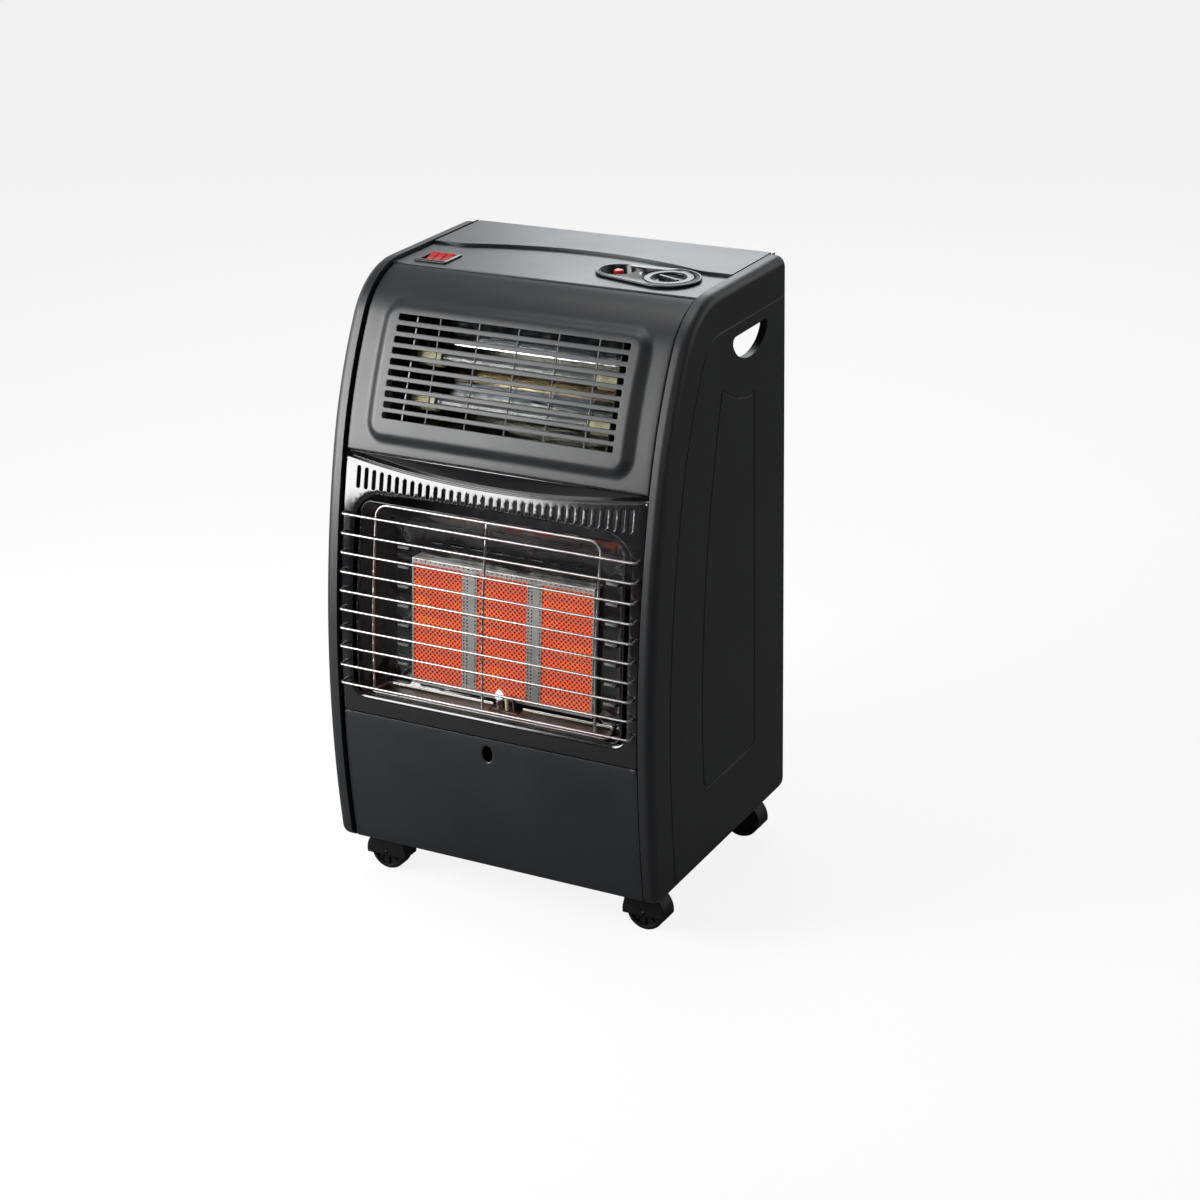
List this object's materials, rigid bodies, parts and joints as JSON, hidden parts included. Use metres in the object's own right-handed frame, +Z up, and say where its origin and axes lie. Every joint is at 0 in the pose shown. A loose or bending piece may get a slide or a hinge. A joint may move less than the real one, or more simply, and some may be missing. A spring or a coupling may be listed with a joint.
{
  "type": "portable cabinet heater",
  "caption": "Portable indoor cabinet heater on swivel castors: infrared gas burner behind a wire guard, electric quartz heater above, controls on top, bottle space behind.",
  "frame": {"origin": "on the floor under the middle of the heater", "axes": "+Z up, -Y towards the front with the burner, +X to the right seen from the front"},
  "size_m": [0.42, 0.36, 0.72],
  "materials": {
    "satin_black": "satin",
    "gloss_black": "gloss",
    "inner_steel": "matt",
    "guard_wire": "polished",
    "stainless": "brushed",
    "polished_reflector": "polished",
    "glowing_ceramic": "matt, shown alight",
    "white_ceramic": "matt",
    "quartz": "clear",
    "coil_wire": "dull",
    "burner_steel": "dull",
    "brass": "machined",
    "pipe": "drawn",
    "steel": "plain",
    "black_plastic": "satin",
    "red_plastic": "gloss",
    "castor_plastic": "satin"
  },
  "bodies": {
    "cabinet": {"base_tray": "inner_steel", "burner_frame": "stainless", "burner_housing": "gloss_black", "burner_plenum": "burner_steel", "castor_sockets": "inner_steel", "ceramic_plaque_centre": "glowing_ceramic", "ceramic_plaque_left": "glowing_ceramic", "ceramic_plaque_right": "glowing_ceramic", "control_panel": "satin_black", "cross_rails": "inner_steel", "dial_bezel": "black_plastic", "divider_wall": "inner_steel", "drip_tray": "stainless", "electric_reflector": "polished_reflector", "gas_manifold": "burner_steel", "gas_pipe": "pipe", "guard": "guard_wire", "heating_coils": "coil_wire", "hose_nozzle": "brass", "igniter_body": "black_plastic", "injectors": "brass", "lower_front_panel": "satin_black", "mains_gland": "black_plastic", "middle_front_panel": "gloss_black", "pilot_burner": "stainless", "quartz_tubes": "quartz", "rear_screws": "steel", "safety_wires": "stainless", "side_panel_left": "satin_black", "side_panel_right": "satin_black", "spark_electrode": "white_ceramic", "switch_bezel": "black_plastic", "switch_block": "black_plastic", "terminal_box": "black_plastic", "thermocouple": "stainless", "tilt_switch": "black_plastic", "top_plate": "satin_black", "tube_holders": "white_ceramic", "upper_front_panel": "satin_black", "valve_body": "brass"},
    "valve_rotor": {"valve_rotor": "brass"},
    "knob": {"gas_knob": "black_plastic", "gas_spindle": "steel"},
    "button": {"igniter_button": "red_plastic"},
    "rocker_a": {"rocker_1": "red_plastic"},
    "rocker_b": {"rocker_2": "red_plastic"},
    "rocker_c": {"rocker_3": "red_plastic"},
    "rear_cover": {"rear_cover": "inner_steel"},
    "castor_front_right": {"castor_fork_front_right": "castor_plastic", "castor_axle_front_right": "steel"},
    "wheel_front_right": {"castor_wheel_front_right": "castor_plastic"},
    "castor_front_left": {"castor_fork_front_left": "castor_plastic", "castor_axle_front_left": "steel"},
    "wheel_front_left": {"castor_wheel_front_left": "castor_plastic"},
    "castor_rear_right": {"castor_fork_rear_right": "castor_plastic", "castor_axle_rear_right": "steel"},
    "wheel_rear_right": {"castor_wheel_rear_right": "castor_plastic"},
    "castor_rear_left": {"castor_fork_rear_left": "castor_plastic", "castor_axle_rear_left": "steel"},
    "wheel_rear_left": {"castor_wheel_rear_left": "castor_plastic"}
  },
  "joints": [
    {"name": "knob_turn", "type": "hinge", "parent": "cabinet", "child": "valve_rotor", "pos_m": [0.131, 0.03898, 0.7028], "axis": [0, 0, 1], "range_deg": [0, 210]},
    {"name": "knob_press", "type": "slide", "parent": "valve_rotor", "child": "knob", "axis": [0, 0, -1], "range_m": [0, 0.004], "stiffness_N_per_m": 800, "springref_m": -0.001},
    {"name": "igniter_press", "type": "slide", "parent": "cabinet", "child": "button", "axis": [0, 0, -1], "range_m": [0, 0.006], "stiffness_N_per_m": 500, "springref_m": -0.001},
    {"name": "rocker_a_tip", "type": "hinge", "parent": "cabinet", "child": "rocker_a", "pos_m": [-0.1614, 0.01798, 0.713], "axis": [-1, 0, 0], "range_deg": [0, 18]},
    {"name": "rocker_b_tip", "type": "hinge", "parent": "cabinet", "child": "rocker_b", "pos_m": [-0.151, 0.01798, 0.713], "axis": [-1, 0, 0], "range_deg": [0, 18]},
    {"name": "rocker_c_tip", "type": "hinge", "parent": "cabinet", "child": "rocker_c", "pos_m": [-0.1406, 0.01798, 0.713], "axis": [-1, 0, 0], "range_deg": [0, 18]},
    {"name": "rear_cover_lift", "type": "slide", "parent": "cabinet", "child": "rear_cover", "axis": [0, 0, 1], "range_m": [0, 0.012]},
    {"name": "swivel_front_right", "type": "hinge", "parent": "cabinet", "child": "castor_front_right", "pos_m": [0.16, -0.11513, 0.0592], "axis": [0, 0, 1], "continuous": true},
    {"name": "roll_front_right", "type": "hinge", "parent": "castor_front_right", "child": "wheel_front_right", "pos_m": [0.172, -0.11513, 0.023], "axis": [0, 1, 0], "continuous": true},
    {"name": "swivel_front_left", "type": "hinge", "parent": "cabinet", "child": "castor_front_left", "pos_m": [-0.16, -0.11513, 0.0592], "axis": [0, 0, 1], "continuous": true},
    {"name": "roll_front_left", "type": "hinge", "parent": "castor_front_left", "child": "wheel_front_left", "pos_m": [-0.172, -0.11513, 0.023], "axis": [0, 1, 0], "continuous": true},
    {"name": "swivel_rear_right", "type": "hinge", "parent": "cabinet", "child": "castor_rear_right", "pos_m": [0.16, 0.14, 0.0592], "axis": [0, 0, 1], "continuous": true},
    {"name": "roll_rear_right", "type": "hinge", "parent": "castor_rear_right", "child": "wheel_rear_right", "pos_m": [0.172, 0.14, 0.023], "axis": [0, 1, 0], "continuous": true},
    {"name": "swivel_rear_left", "type": "hinge", "parent": "cabinet", "child": "castor_rear_left", "pos_m": [-0.16, 0.14, 0.0592], "axis": [0, 0, 1], "continuous": true},
    {"name": "roll_rear_left", "type": "hinge", "parent": "castor_rear_left", "child": "wheel_rear_left", "pos_m": [-0.172, 0.14, 0.023], "axis": [0, 1, 0], "continuous": true}
  ]
}
